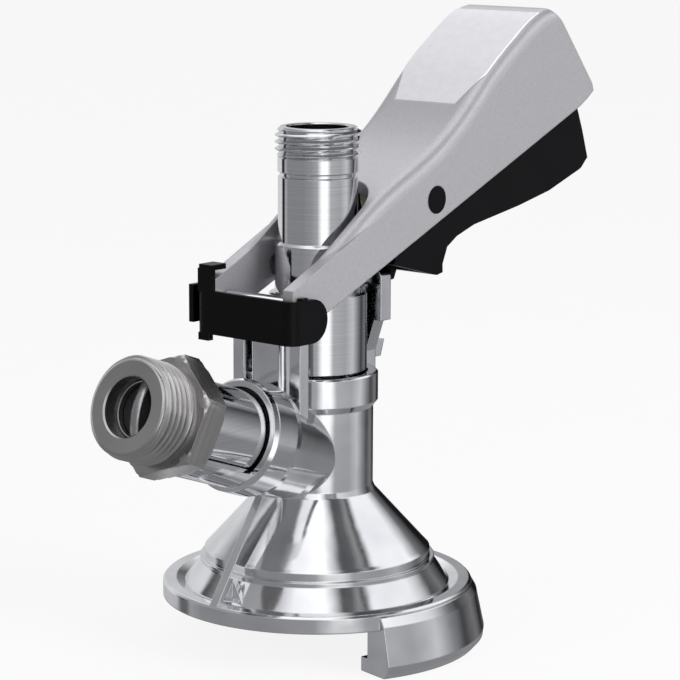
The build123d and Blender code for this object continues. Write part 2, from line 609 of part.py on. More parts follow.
def arm_slot(side):
    """Blind slot in the inner face of an arm for the probe's drive stud."""
    half = STUD_R + STUD_GAP
    near = -PIVOT_X - STUD_GAP
    far = -PIVOT_X / cos(radians(STUD_ANGLE)) + STUD_GAP
    depth = STUD_TIP + SIDE_GAP
    y0, y1 = sorted((side * (ARM_IN - 2), side * depth))
    run = Pos((near + far) / 2, (y0 + y1) / 2, 0) * Box(far - near, y1 - y0, 2 * half)
    slot = run + cross_pin(near, 0, half, y0, y1) + cross_pin(far, 0, half, y0, y1)
    return Pos(PIVOT_X, 0, PIVOT_Z) * Rot(0, -STUD_ANGLE, 0) * slot


def label_outline(grow=0.0):
    return make_face(Polyline(
        (LABEL_X0 - grow, -LABEL_HALF_LOW - grow), (LABEL_X0 + 9, -LABEL_HALF - grow),
        (LABEL_X1 + grow, -LABEL_HALF - grow), (LABEL_X1 + grow, LABEL_HALF + grow),
        (LABEL_X0 + 9, LABEL_HALF + grow), (LABEL_X0 - grow, LABEL_HALF_LOW + grow), close=True,
    ))


def crown_band(depth0, depth1):
    """Strip that follows the top of the handle between two depths below it."""
    upper = crown_curve(depth0)
    lower = crown_curve(depth1)
    outline = make_face(Plane.XZ * Curve([upper, lower, Line(upper @ 0, lower @ 0), Line(upper @ 1, lower @ 1)]))
    return Pos(0, 30, 0) * extrude(outline, 60, dir=(0, -1, 0))


def label_recess():
    return extrude(label_outline(SEAT_GAP), 200, dir=(0, 0, 1)) & crown_band(-3, LABEL_T)


def label_plate():
    return extrude(label_outline(), 200, dir=(0, 0, 1)) & crown_band(0, LABEL_T - SEAT_GAP)


def pivot_pin():
    end = ARM_OUT - 0.1
    return cross_pin(PIVOT_X, PIVOT_Z, PIVOT_PIN_R, -end, end)


def trigger_pin():
    end = half_width(TRIGGER_X)
    pin = cross_pin(TRIGGER_X, TRIGGER_Z, TRIGGER_PIN_R, -end + PIN_CAP_T, end - PIN_CAP_T)
    cap = cross_pin(TRIGGER_X, TRIGGER_Z, PIN_CAP_R, -end, -end + PIN_CAP_T)
    return pin + both_sides(cap)


# ---- trigger ----------------------------------------------------------------
def trigger_grip():
    """Black grip under the lever; its fork straddles the rear tower and ends in the latch tooth."""
    under = [(x, lower_edge(x) + GRIP_LID) for x in GRIP_LID_X]
    solid = side_plate(GRIP_LOWER + under + GRIP_FRONT, -TRIGGER_HALF + SIDE_GAP, TRIGGER_HALF - SIDE_GAP)
    rim = TRIGGER_HALF - 2 * SIDE_GAP
    rear = [e for e in solid.edges() if is_rear_corner(e, rim)]
    solid = fillet(rear, GRIP_ROUND)
    half = TRIGGER_HALF - GRIP_WALL - SIDE_GAP
    hollow = side_plate(GRIP_HOLLOW, -half, half)
    fork = Pos(6, 0, 96) * Box(50, 2 * TRIGGER_FORK, 60)
    solid = solid - hollow - fork
    solid += latch_tooth()
    pocket = HUB_HALF + SIDE_GAP
    solid -= cross_pin(TRIGGER_X, TRIGGER_Z, HUB_R + SIDE_GAP, -pocket, pocket)
    return solid - cross_pin(TRIGGER_X, TRIGGER_Z, TRIGGER_PIN_R + PIVOT_GAP, -30, 30)


def is_rear_corner(edge, rim):
    """True for the side edges at the grip's rear end."""
    middle = edge.center()
    return middle.X > GRIP_LOWER[-4][0] and abs(middle.Y) > rim and middle.Z < GRIP_LOWER[-2][1]


def latch_tooth():
    """Hook on the middle of the trigger's cross bar, below the pin."""
    bar = side_plate([
        (28.6, 86.6), (33, 85.4), (33, 98), (30.6, 98),
    ], -TRIGGER_FORK - 0.5, TRIGGER_FORK + 0.5)
    low = TOOTH_ANGLE - degrees(TOOTH_T / TOOTH_REACH)
    stem_in = TOOTH_REACH + TOOTH_BITE
    hook_part = side_plate([
        about_pivot(TOOTH_REACH, TOOTH_ANGLE), about_pivot(TOOTH_REACH, low),
        about_pivot(stem_in + 1.3, low), (31.6, 87.2), (30.4, 90), (28.4, 88),
        about_pivot(stem_in, TOOTH_ANGLE),
    ], -TOOTH_W / 2, TOOTH_W / 2)
    return bar + hook_part


def spring_hub():
    """Acetal hub on the trigger pin, hollow for the spring."""
    solid = cross_pin(TRIGGER_X, TRIGGER_Z, HUB_R, -HUB_HALF, HUB_HALF)
    solid = chamfer(solid.edges(), 0.6)
    solid -= cross_pin(TRIGGER_X, TRIGGER_Z, SPRING_R + SPRING_WIRE, -SPRING_HALF, SPRING_HALF)
    return solid - cross_pin(TRIGGER_X, TRIGGER_Z, TRIGGER_PIN_R + PIVOT_GAP, -HUB_HALF - 1, HUB_HALF + 1)


def trigger_spring():
    """Torsion spring on the trigger pin: coil and two legs."""
    length = 2 * (SPRING_HALF - SPRING_WIRE)
    turns = coil(SPRING_R, SPRING_WIRE / 2, length / 4, length)
    return Pos(TRIGGER_X, length / 2, TRIGGER_Z) * Rot(90, 0, 0) * turns


# ---- strap ------------------------------------------------------------------
def strap_clip():
    """Black clip round the front tower; its round ends cover the pivot pin."""
    x0 = STRAP_FRONT_X
    long = PIVOT_X - x0
    z0 = PIVOT_Z - STRAP_H / 2
    outer = Pos(x0 + long / 2, 0, PIVOT_Z) * Box(long, 2 * STRAP_OUT, STRAP_H)
    outer = fillet(outer.edges().filter_by(Axis.Z).group_by(Axis.X)[0], STRAP_CORNER)
    caps = cross_pin(PIVOT_X, PIVOT_Z, STRAP_H / 2, -STRAP_OUT, STRAP_OUT)
    inner = Pos(x0 + STRAP_T + 40, 0, PIVOT_Z) * Box(80, 2 * (STRAP_OUT - STRAP_T), 2 * STRAP_H)
    solid = (outer + caps) - inner
    leaf = Pos(x0 + 6.5, STRAP_OUT + 2.1, PIVOT_Z + 1.6) * Box(11, 1.5, 10)
    link = Pos(x0 + 10.5, STRAP_OUT + 0.9, PIVOT_Z + 1.6) * Box(3, 2.4, 7)
    bump = Pos(x0 + 4.6, -STRAP_OUT + STRAP_T / 2, z0 + STRAP_H) * Box(2.4, STRAP_T, 1.4)
    hook_up = Pos(x0 + 0.9, 13.6, PIVOT_Z + STRAP_H / 2 + 2.6) * Box(1.8, 4.6, 6.2)
    hook_over = Pos(x0 + 3.2, 13.6, PIVOT_Z + STRAP_H / 2 + 6.0) * Box(5.4, 4.6, 1.4)
    foot = Pos(x0 + 0.9, 14.0, PIVOT_Z - STRAP_H / 2 - 0.8) * Box(1.8, 3.6, 2.0)
    return solid + leaf + link + bump + hook_up + hook_over + foot


NODES = {
    "coupler_body": coupler_body,
    "hook_shoe": hook_shoe,
    "keg_seal": keg_seal,
    "guide_bush": guide_bush,
    "shaft_ring": shaft_ring,
    "gas_nipple": gas_nipple,
    "nipple_washer": nipple_washer,
    "gas_valve_cage": gas_valve_cage,
    "gas_valve_disc": gas_valve_disc,
    "gas_valve_spring": gas_valve_spring,
    "probe_tube": probe_tube,
    "nose_seat": nose_seat,
    "probe_seal": probe_seal,
    "check_ball": check_ball,
    "ball_stop_pin": ball_stop_pin,
    "drive_studs": drive_studs,
    "outlet_washer": outlet_washer,
    "lever_yoke": lever_yoke,
    "label_plate": label_plate,
    "pivot_pin": pivot_pin,
    "trigger_pin": trigger_pin,
    "trigger_grip": trigger_grip,
    "spring_hub": spring_hub,
    "trigger_spring": trigger_spring,
    "strap_clip": strap_clip,
}

os.makedirs("parts", exist_ok=True)
for name, build in NODES.items():
    export_step(build(), "parts/" + name + ".step")
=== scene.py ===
"""Looks of the keg coupler: finishes, cut threads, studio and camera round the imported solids."""
import json
import math

import bpy
from mathutils import Matrix, Vector


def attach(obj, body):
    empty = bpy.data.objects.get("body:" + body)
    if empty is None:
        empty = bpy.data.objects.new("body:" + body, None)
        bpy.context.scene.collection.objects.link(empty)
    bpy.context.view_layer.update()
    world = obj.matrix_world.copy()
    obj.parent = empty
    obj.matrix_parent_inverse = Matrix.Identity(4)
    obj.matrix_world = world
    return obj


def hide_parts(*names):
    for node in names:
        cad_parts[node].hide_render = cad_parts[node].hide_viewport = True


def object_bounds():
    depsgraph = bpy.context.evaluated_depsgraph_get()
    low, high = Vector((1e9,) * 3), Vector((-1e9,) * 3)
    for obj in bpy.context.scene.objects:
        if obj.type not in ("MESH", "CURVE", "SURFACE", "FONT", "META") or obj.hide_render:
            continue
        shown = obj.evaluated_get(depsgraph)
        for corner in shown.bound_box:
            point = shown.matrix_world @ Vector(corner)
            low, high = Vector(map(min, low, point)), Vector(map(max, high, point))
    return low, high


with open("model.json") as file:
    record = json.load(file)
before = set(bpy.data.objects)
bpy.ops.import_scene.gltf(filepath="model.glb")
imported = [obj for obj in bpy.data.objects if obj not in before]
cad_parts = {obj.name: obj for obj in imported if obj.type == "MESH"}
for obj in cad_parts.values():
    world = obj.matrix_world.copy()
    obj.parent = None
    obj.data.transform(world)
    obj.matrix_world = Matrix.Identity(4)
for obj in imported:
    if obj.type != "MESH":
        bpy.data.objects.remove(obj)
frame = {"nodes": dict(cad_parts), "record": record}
cad_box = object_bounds()

MM = 0.001

# Probe, millimetres, bore and outside from the nose up
NOSE_Z = 1.8
SHAFT_R = 8.9
WIDE_R = 13.1
WIDE_BOTTOM = 60.9
WIDE_TOP = 82.4
COLLET_R = 11.4
COLLET_TOP = 96.0
TUBE_R = 10.6
OUTLET_TOP = 126.3
OUTLET_GROOVE_Z = 113.8
OUTLET_THREAD_R = 22.91 / 2
OUTLET_THREAD_LEN = 8.0
OUTLET_BORE_R = 8.2
BEER_BORE_R = 5.0
CHAMBER_R = 5.95
CHAMBER_TOP = 20.0
SEAL_H = 4.2

# Gas nipple, along the inlet axis
INLET_TILT = 19.2
INLET_Z = 37.4
NIPPLE_FACE_L = 75.8
NIPPLE_THREAD_R = 26.44 / 2
NIPPLE_THREAD_LEN = 12.0
HEX_AF = 28.4
HEX_TURN = -10.0
HEX_LEN = 7.6
SPIGOT_R = 10.2
NIPPLE_NECK_R = 11.8
NIPPLE_BORE_R = 7.7
NIPPLE_BORE_DEPTH = 14.0
NIPPLE_WAIST_R = 5.6
BOSS_L = 35.5
MOUTH_DEPTH = 3.0
WASHER_T = 1.4
SPIGOT_LEN = 9.0
CAGE_DEPTH = 4.6
CAGE_T = 1.6
CAGE_BAR = 3.0

INLET_AXIS = (Matrix.Translation(Vector((0, 0, INLET_Z)))
              @ Matrix.Rotation(math.radians(INLET_TILT - 90), 4, "Y"))
INLET_TURN = (0, math.radians(90 - INLET_TILT), 0)      # turns the inlet axis to Z
HEX_PLACE = math.radians(30 + HEX_TURN)

# Pipe threads: both have 14 turns to the inch
PITCH = 25.4 / 14
THREAD_DEPTH = 1.16
THREAD_FLAT = 0.12       # share of a flank's rise taken by the flat root, and again by the crest

# Studio, millimetres and degrees
STRIP_WAY = (0.65, -0.76, 0.0)      # the ceiling strips are laid side by side this way
TABLE_REACH = 4000
LAMP_AIM = (10, 0, 70)
CAMERA_PLACE = (-520.17, -452.36, 196.0)
CAMERA_HEADING = 49.482
CAMERA_DIP = 10.4216
CAMERA_ROLL = 0.2172
CAMERA_LENS = 139.41


# ---- nodes ------------------------------------------------------------------
def linear(code):
    """Linear colour from an sRGB hex value."""
    parts = [int(code[i:i + 2], 16) / 255 for i in (1, 3, 5)]
    return [c / 12.92 if c <= 0.04045 else ((c + 0.055) / 1.055) ** 2.4 for c in parts] + [1.0]


def add(tree, kind, settings=None, **inputs):
    """Adds one node: settings are its own values, inputs are links or numbers for its sockets."""
    made = tree.nodes.new(kind)
    for key, value in (settings or {}).items():
        setattr(made, key, value)
    for key, value in inputs.items():
        socket = made.inputs[int(key[1:]) if key[0] == "_" else key.replace("_", " ")]
        if isinstance(value, bpy.types.NodeSocket):
            tree.links.new(value, socket)
        else:
            socket.default_value = value
    return made


def stops(ramp, pairs):
    """Sets the stops of a colour ramp from (place, hex) pairs."""
    line = ramp.color_ramp.elements
    while len(line) > 1:
        line.remove(line[-1])
    for i, (place, code) in enumerate(pairs):
        stop = line[0] if i == 0 else line.new(place)
        stop.position = place
        stop.color = linear(code)


def finish(name, colour, metallic, roughness, **fixed):
    """A new material with one Principled shader, its plain values set on the sockets."""
    made = bpy.data.materials.new(name)
    made.use_nodes = True
    tree = made.node_tree
    tree.nodes.clear()
    shader = add(tree, "ShaderNodeBsdfPrincipled", Base_Color=linear(colour), Metallic=metallic,
                 Roughness=roughness, **fixed)
    add(tree, "ShaderNodeOutputMaterial", Surface=shader.outputs[0])
    made.diffuse_color = linear(colour)
    return made, tree, shader


def place(tree, grain_mm, turn=(0, 0, 0), stretch=(1, 1, 1)):
    """Object coordinates scaled so that one unit is grain_mm, turned and stretched."""
    where = add(tree, "ShaderNodeTexCoord").outputs["Object"]
    turned = add(tree, "ShaderNodeMapping", Vector=where, Rotation=turn).outputs[0]
    scale = [1000 / grain_mm / s for s in stretch]
    return add(tree, "ShaderNodeMapping", Vector=turned, Scale=scale).outputs[0]


def spread(tree, value, low, high, first=0.0, last=1.0):
    """Maps a pattern that runs from first to last to a range."""
    return add(tree, "ShaderNodeMapRange", _0=value, _1=first, _2=last, _3=low, _4=high).outputs[0]


def tint(tree, value, dark, light):
    """Colour that runs from dark to light with a pattern."""
    ramp = add(tree, "ShaderNodeValToRGB", Fac=value)
    stops(ramp, [(0.25, dark), (0.75, light)])
    return ramp.outputs[0]


def relief(tree, shader, height, depth_mm, edge_mm=0.0):
    """Bump of a real depth, over softened edges."""
    bump = add(tree, "ShaderNodeBump", Height=height, Distance=depth_mm * MM, Strength=1.0)
    if edge_mm:
        soft = add(tree, "ShaderNodeBevel", {"samples": 6}, Radius=edge_mm * MM)
        tree.links.new(soft.outputs[0], bump.inputs["Normal"])
    tree.links.new(bump.outputs[0], shader.inputs["Normal"])


# ---- finishes ---------------------------------------------------------------
def polished_cast_steel():
    """Stainless casting, hand polished: bright, with long shallow waves left by the wheel."""
    made, tree, shader = finish("polished_cast_steel", "#DCDDDF", 1.0, 0.09)
    waves = add(tree, "ShaderNodeTexNoise", Vector=place(tree, 9.0), Scale=1.0, Detail=1.5, Roughness=0.4)
    wheel = add(tree, "ShaderNodeTexNoise", Vector=place(tree, 0.7, stretch=(6, 6, 1)), Scale=1.0, Detail=2.0)
    tree.links.new(spread(tree, wheel.outputs[0], 0.05, 0.14), shader.inputs["Roughness"])
    tree.links.new(tint(tree, waves.outputs[0], "#D2D3D6", "#E4E5E6"), shader.inputs["Base Color"])
    relief(tree, shader, waves.outputs[0], 0.10, 0.45)
    return made


def turned_tube_steel():
    """Stainless tube finished in the lathe: mirror with fine rings round its axis."""
    made, tree, shader = finish("turned_tube_steel", "#D9DADC", 1.0, 0.07)
    # tool marks are about 0.05 mm apart, drawn at 0.25 mm so that they show
    rings = add(tree, "ShaderNodeTexNoise", Vector=place(tree, 0.25, stretch=(80, 80, 1)),
                Scale=1.0, Detail=2.0)
    tree.links.new(spread(tree, rings.outputs[0], 0.04, 0.10), shader.inputs["Roughness"])
    tree.links.new(tint(tree, rings.outputs[0], "#D0D1D4", "#DFE0E2"), shader.inputs["Base Color"])
    relief(tree, shader, rings.outputs[0], 0.0008, 0.2)
    return made


def satin_nipple_steel():
    """Stainless nipple, cut threads and blasted face: dull grey with turning marks."""
    made, tree, shader = finish("satin_nipple_steel", "#B9B7B5", 1.0, 0.3)
    rings = add(tree, "ShaderNodeTexNoise", Vector=place(tree, 0.4, INLET_TURN, (60, 60, 1)),
                Scale=1.0, Detail=2.0)
    grit = add(tree, "ShaderNodeTexNoise", Vector=place(tree, 0.35), Scale=1.0, Detail=3.0)
    tree.links.new(spread(tree, grit.outputs[0], 0.22, 0.4), shader.inputs["Roughness"])
    tree.links.new(tint(tree, rings.outputs[0], "#A9A7A6", "#C6C5C4"), shader.inputs["Base Color"])
    relief(tree, shader, grit.outputs[0], 0.02, 0.15)
    return made


def stamped_steel():
    """Stamped stainless sheet, tumbled: soft sheen and a fine grain."""
    made, tree, shader = finish("stamped_steel", "#B4B4B5", 1.0, 0.28)
    grain = add(tree, "ShaderNodeTexNoise", Vector=place(tree, 0.4, stretch=(5, 1, 1)), Scale=1.0, Detail=2.0)
    tree.links.new(tint(tree, grain.outputs[0], "#A8A8AA", "#BFBFC0"), shader.inputs["Base Color"])
    relief(tree, shader, grain.outputs[0], 0.01, 0.1)
    return made


def ground_pin_steel():
    """Centreless ground stainless pin: fine hoops round it."""
    made, tree, shader = finish("ground_pin_steel", "#C4C4C6", 1.0, 0.2)
    hoops = add(tree, "ShaderNodeTexNoise", Vector=place(tree, 0.2, stretch=(60, 1, 60)), Scale=1.0, Detail=2.0)
    tree.links.new(spread(tree, hoops.outputs[0], 0.14, 0.26), shader.inputs["Roughness"])
    tree.links.new(tint(tree, hoops.outputs[0], "#B8B8BA", "#CFCFD1"), shader.inputs["Base Color"])
    relief(tree, shader, hoops.outputs[0], 0.002)
    return made


def drawn_spring_wire():
    """Drawn stainless wire: slightly dull with draw marks along it."""
    made, tree, shader = finish("drawn_spring_wire", "#AEAEB0", 1.0, 0.3)
    marks = add(tree, "ShaderNodeTexNoise", Vector=place(tree, 0.3), Scale=1.0, Detail=2.0)
    tree.links.new(tint(tree, marks.outputs[0], "#9F9FA1", "#BABABC"), shader.inputs["Base Color"])
    relief(tree, shader, marks.outputs[0], 0.003)
    return made


def silver_lacquer():
    """Silver lacquer on die-cast alloy: even satin grey with fine metal flake under it."""
    made, tree, shader = finish("silver_lacquer", "#B6B5B9", 0.55, 0.4, Coat_Weight=0.35, Coat_Roughness=0.15)
    # flake is about 0.03 mm, drawn at 0.2 mm so that it shows
    flake = add(tree, "ShaderNodeTexVoronoi", Vector=place(tree, 0.2), Scale=1.0)
    peel = add(tree, "ShaderNodeTexNoise", Vector=place(tree, 1.6), Scale=1.0, Detail=1.0)
    tone = add(tree, "ShaderNodeSeparateColor", _0=flake.outputs["Color"])
    tree.links.new(tint(tree, tone.outputs[0], "#B1B0B4", "#BCBBBF"), shader.inputs["Base Color"])
    tree.links.new(spread(tree, peel.outputs[0], 0.33, 0.43), shader.inputs["Roughness"])
    relief(tree, shader, peel.outputs[0], 0.012, 0.6)
    return made


def label_film():
    """Gloss polyester label: pale, smooth, with the faintest orange peel."""
    made, tree, shader = finish("label_film", "#ECECF1", 0.0, 0.22, IOR=1.57)
    peel = add(tree, "ShaderNodeTexNoise", Vector=place(tree, 2.5), Scale=1.0, Detail=1.0)
    tree.links.new(tint(tree, peel.outputs[0], "#E9E9EE", "#EFEFF4"), shader.inputs["Base Color"])
    tree.links.new(spread(tree, peel.outputs[0], 0.18, 0.27), shader.inputs["Roughness"])
    relief(tree, shader, peel.outputs[0], 0.004)
    return made


def moulded_nylon(name, dark, light, rough):
    """Black glass filled nylon from a spark-eroded mould: fine grain, slight sheen."""
    made, tree, shader = finish(name, dark, 0.0, rough, IOR=1.53, Specular_IOR_Level=0.12)
    # mould grain is about 0.15 mm, drawn at 0.3 mm so that it shows
    grain = add(tree, "ShaderNodeTexNoise", Vector=place(tree, 0.3), Scale=1.0, Detail=3.0)
    flow = add(tree, "ShaderNodeTexNoise", Vector=place(tree, 14.0), Scale=1.0, Detail=1.0)
    tree.links.new(tint(tree, flow.outputs[0], dark, light), shader.inputs["Base Color"])
    tree.links.new(spread(tree, grain.outputs[0], rough - 0.07, rough + 0.07), shader.inputs["Roughness"])
    relief(tree, shader, grain.outputs[0], 0.014, 0.35)
    return made


def moulded_rubber():
    """Food grade nitrile rubber, moulded: dull black with a soft bloom."""
    made, tree, shader = finish("moulded_rubber", "#141414", 0.0, 0.55, IOR=1.52)
    bloom = add(tree, "ShaderNodeTexNoise", Vector=place(tree, 3.0), Scale=1.0, Detail=3.0)
    tree.links.new(tint(tree, bloom.outputs[0], "#101010", "#1C1C1C"), shader.inputs["Base Color"])
    tree.links.new(spread(tree, bloom.outputs[0], 0.48, 0.62), shader.inputs["Roughness"])
    relief(tree, shader, bloom.outputs[0], 0.01, 0.2)
    return made


def cream_acetal(name, dark, light):
    """Turned acetal: waxy off-white with a little light under the skin."""
    made, tree, shader = finish(name, light, 0.0, 0.34, IOR=1.48, Subsurface_Weight=0.1,
                                Subsurface_Radius=(0.002, 0.0016, 0.001))
    marks = add(tree, "ShaderNodeTexNoise", Vector=place(tree, 0.4, stretch=(8, 1, 8)), Scale=1.0, Detail=2.0)
    tree.links.new(tint(tree, marks.outputs[0], dark, light), shader.inputs["Base Color"])
    relief(tree, shader, marks.outputs[0], 0.004, 0.2)
    return made


finishes = {
    "body_steel": polished_cast_steel(),
    "probe_steel": turned_tube_steel(),
    "nipple_steel": satin_nipple_steel(),
    "cage_steel": stamped_steel(),
    "pin_steel": ground_pin_steel(),
    "spring_steel": drawn_spring_wire(),
    "seal_rubber": moulded_rubber(),
    "ball_plastic": cream_acetal("moulded_ball_plastic", "#DDDBD0", "#E8E6DC"),
    "bush_plastic": cream_acetal("cream_acetal", "#D9D4BC", "#E6E1C9"),
    "lever_alloy": silver_lacquer(),
    "label_plastic": label_film(),
    "black_nylon": moulded_nylon("moulded_black_nylon", "#060507", "#0A090B", 0.36),
    "black_pin": moulded_nylon("black_pin_cap", "#050406", "#080709", 0.32),
}


# ---- meshes -----------------------------------------------------------------
def lathe(name, rings, count, axis=Matrix.Identity(4)):
    """Closed mesh turned round an axis. rings are (radius, height) in millimetres, up the outside
    and down the bore; a radius may be a function of the angle."""
    points, faces = [], []
    for radius, height in rings:
        for i in range(count):
            turn = 2 * math.pi * i / count
            r = radius(turn) if callable(radius) else radius
            points.append(axis @ Vector((r * math.cos(turn), r * math.sin(turn), height)) * MM)
    total = len(rings)
    for k in range(total):
        low, high = k * count, (k + 1) % total * count
        for i in range(count):
            j = (i + 1) % count
            faces.append((low + i, low + j, high + j, high + i))
    mesh = bpy.data.meshes.new(name)
    mesh.from_pydata(points, [], faces)
    mesh.validate()
    made = bpy.data.objects.new(name, mesh)
    bpy.context.scene.collection.objects.link(made)
    return made


def smooth(piece, degrees=32):
    """Smooth shading with edges kept sharper than an angle."""
    mesh = piece.data
    mesh.shade_smooth()
    mesh.set_sharp_from_angle(angle=math.radians(degrees))


def thread(crest, start, end, steps=10):
    """Rings of a right-hand thread between two heights, run out at both ends."""
    rings = []
    count = int((end - start) / PITCH * steps)
    for k in range(count + 1):
        height = start + (end - start) * k / count
        fade = min(1.0, (height - start) / (PITCH * 0.5), (end - height) / (PITCH * 0.35))

        def radius(turn, height=height, fade=fade):
            phase = (height / PITCH - turn / (2 * math.pi)) % 1.0
            rise = abs(2 * phase - 1)                 # 1 on the crest, 0 in the root
            rise = min(1.0, max(0.0, (rise - THREAD_FLAT) / (1 - 2 * THREAD_FLAT)))
            return crest - THREAD_DEPTH + THREAD_DEPTH * rise * max(fade, 0.0)
        rings.append((radius, height))
    return rings


def fit(piece, slot, body, *nodes):
    """Gives a piece its finish, its body and the solids that it stands for."""
    piece.data.materials.append(finishes[slot])
    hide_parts(*nodes)
    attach(piece, body)


def probe():
    """Probe tube with the real outlet thread."""
    thread_foot = OUTLET_TOP - OUTLET_THREAD_LEN
    outside = [
        (SHAFT_R - 1.2, NOSE_Z), (SHAFT_R - 1.2, NOSE_Z + SEAL_H), (SHAFT_R, NOSE_Z + SEAL_H),
        (SHAFT_R, WIDE_BOTTOM), (WIDE_R - 1, WIDE_BOTTOM), (WIDE_R, WIDE_BOTTOM + 1),
        (WIDE_R, WIDE_TOP - 0.8), (WIDE_R - 0.2, WIDE_TOP - 0.2), (WIDE_R - 0.8, WIDE_TOP),
        (COLLET_R, WIDE_TOP), (COLLET_R, COLLET_TOP - 0.7), (TUBE_R, COLLET_TOP),
        (TUBE_R, OUTLET_GROOVE_Z - 0.7), (TUBE_R - 0.5, OUTLET_GROOVE_Z - 0.4),
        (TUBE_R - 0.5, OUTLET_GROOVE_Z + 0.4), (TUBE_R + 0.1, OUTLET_GROOVE_Z + 0.7),
        (TUBE_R + 0.1, thread_foot - 0.1),
    ]
    inside = [
        (OUTLET_THREAD_R - THREAD_DEPTH, OUTLET_TOP - 0.3), (OUTLET_THREAD_R - THREAD_DEPTH - 0.3, OUTLET_TOP),
        (OUTLET_BORE_R + 0.3, OUTLET_TOP), (OUTLET_BORE_R, OUTLET_TOP - 0.3),
        (OUTLET_BORE_R, OUTLET_TOP - 9), (BEER_BORE_R, OUTLET_TOP - 9),
        (BEER_BORE_R, CHAMBER_TOP), (CHAMBER_R, CHAMBER_TOP), (CHAMBER_R, NOSE_Z),
    ]
    rings = outside + thread(OUTLET_THREAD_R, thread_foot, OUTLET_TOP - 0.4) + inside
    piece = lathe("probe_with_thread", rings, 120)
    smooth(piece)
    fit(piece, "probe_steel", "probe", "probe_tube")


def nipple():
    """Gas nipple with its hexagon and the real inlet thread."""
    axis = INLET_AXIS
    hex_l0 = NIPPLE_FACE_L - NIPPLE_THREAD_LEN - HEX_LEN
    hex_l1 = hex_l0 + HEX_LEN
    corner = HEX_AF / 2 / math.cos(math.radians(30))
    mouth_floor = BOSS_L - MOUTH_DEPTH
    shoulder = mouth_floor + WASHER_T

    def hexagon(limit):
        def radius(turn):
            sixth = math.radians(60)
            off = (turn - HEX_PLACE + sixth / 2) % sixth - sixth / 2
            return min(limit, HEX_AF / 2 / math.cos(off))
        return radius
    flats = [(limit, height) for limit, height in (
        (corner - 1.6, hex_l0), (corner - 0.5, hex_l0 + 0.55), (corner + 0.1, hex_l0 + 1),
        (corner + 0.1, hex_l1 - 1), (corner - 0.5, hex_l1 - 0.55), (corner - 1.6, hex_l1))]
    low = NIPPLE_THREAD_R - 1.2
    outside = [
        (SPIGOT_R, mouth_floor - SPIGOT_LEN), (SPIGOT_R, shoulder),
        (NIPPLE_NECK_R, shoulder), (NIPPLE_NECK_R, hex_l0),
    ] + [(hexagon(limit), height) for limit, height in flats] + [(low, hex_l1), (low, hex_l1 + 0.8)]
    inside = [
        (low, NIPPLE_FACE_L - 0.25), (low - 0.4, NIPPLE_FACE_L), (NIPPLE_BORE_R + 0.4, NIPPLE_FACE_L),
        (NIPPLE_BORE_R, NIPPLE_FACE_L - 0.4), (NIPPLE_BORE_R, NIPPLE_FACE_L - NIPPLE_BORE_DEPTH),
        (NIPPLE_WAIST_R, NIPPLE_FACE_L - NIPPLE_BORE_DEPTH), (NIPPLE_WAIST_R, mouth_floor - SPIGOT_LEN),
    ]
    rings = outside + thread(NIPPLE_THREAD_R, hex_l1 + 0.9, NIPPLE_FACE_L - 0.35) + inside
    piece = lathe("nipple_with_thread", rings, 180, axis)
    smooth(piece)
    fit(piece, "nipple_steel", "coupler", "gas_nipple")
    piece.data.materials.append(finishes["probe_steel"])
    inward = axis.inverted()
    for face in piece.data.polygons:
        along = (inward @ (face.center / MM)).z
        face.material_index = int(along < hex_l0)      # the neck behind the hexagon is left bright


def cage():
    """Web of the non-return valve: thin rim and a pressed bar with a raised middle."""
    top = NIPPLE_FACE_L - CAGE_DEPTH
    rim_r = NIPPLE_BORE_R - 0.05
    rings = [(rim_r, top - CAGE_T), (rim_r, top - 0.3), (rim_r - 0.25, top), (rim_r - 0.55, top - 0.1),
             (rim_r - 0.7, top - 0.6), (rim_r - 0.7, top - CAGE_T)]
    rim = lathe("cage_rim", rings, 72, INLET_AXIS)
    smooth(rim)
    points, faces = [], []
    around = 12
    along = 16
    for k in range(along + 1):
        y = (2 * k / along - 1) * (rim_r - 0.5)
        rise = 1.9 * math.cos(y / rim_r * math.pi / 2) ** 0.8
        for i in range(around):
            turn = 2 * math.pi * i / around
            half, thick = CAGE_BAR / 2, CAGE_T / 2
            off = Vector((y, -half * math.cos(turn), top - thick + rise + thick * math.sin(turn)))
            points.append(INLET_AXIS @ off * MM)
    for k in range(along):
        for i in range(around):
            j = (i + 1) % around
            faces.append((k * around + i, (k + 1) * around + i, (k + 1) * around + j, k * around + j))
    faces.append(tuple(range(around)))
    faces.append(tuple(along * around + i for i in reversed(range(around))))
    mesh = bpy.data.meshes.new("cage_bar")
    mesh.from_pydata(points, [], faces)
    bar = bpy.data.objects.new("cage_bar", mesh)
    bpy.context.scene.collection.objects.link(bar)
    smooth(bar, 50)
    bar.data.materials.append(finishes["cage_steel"])
    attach(bar, "coupler")
    fit(rim, "cage_steel", "coupler", "gas_valve_cage")


probe()
nipple()
cage()

slots = {part["node"]: part["material_slot"] for part in frame["record"]["subparts"]}
for name, solid in frame["nodes"].items():
    solid.data.materials.clear()
    solid.data.materials.append(finishes[slots[name]])


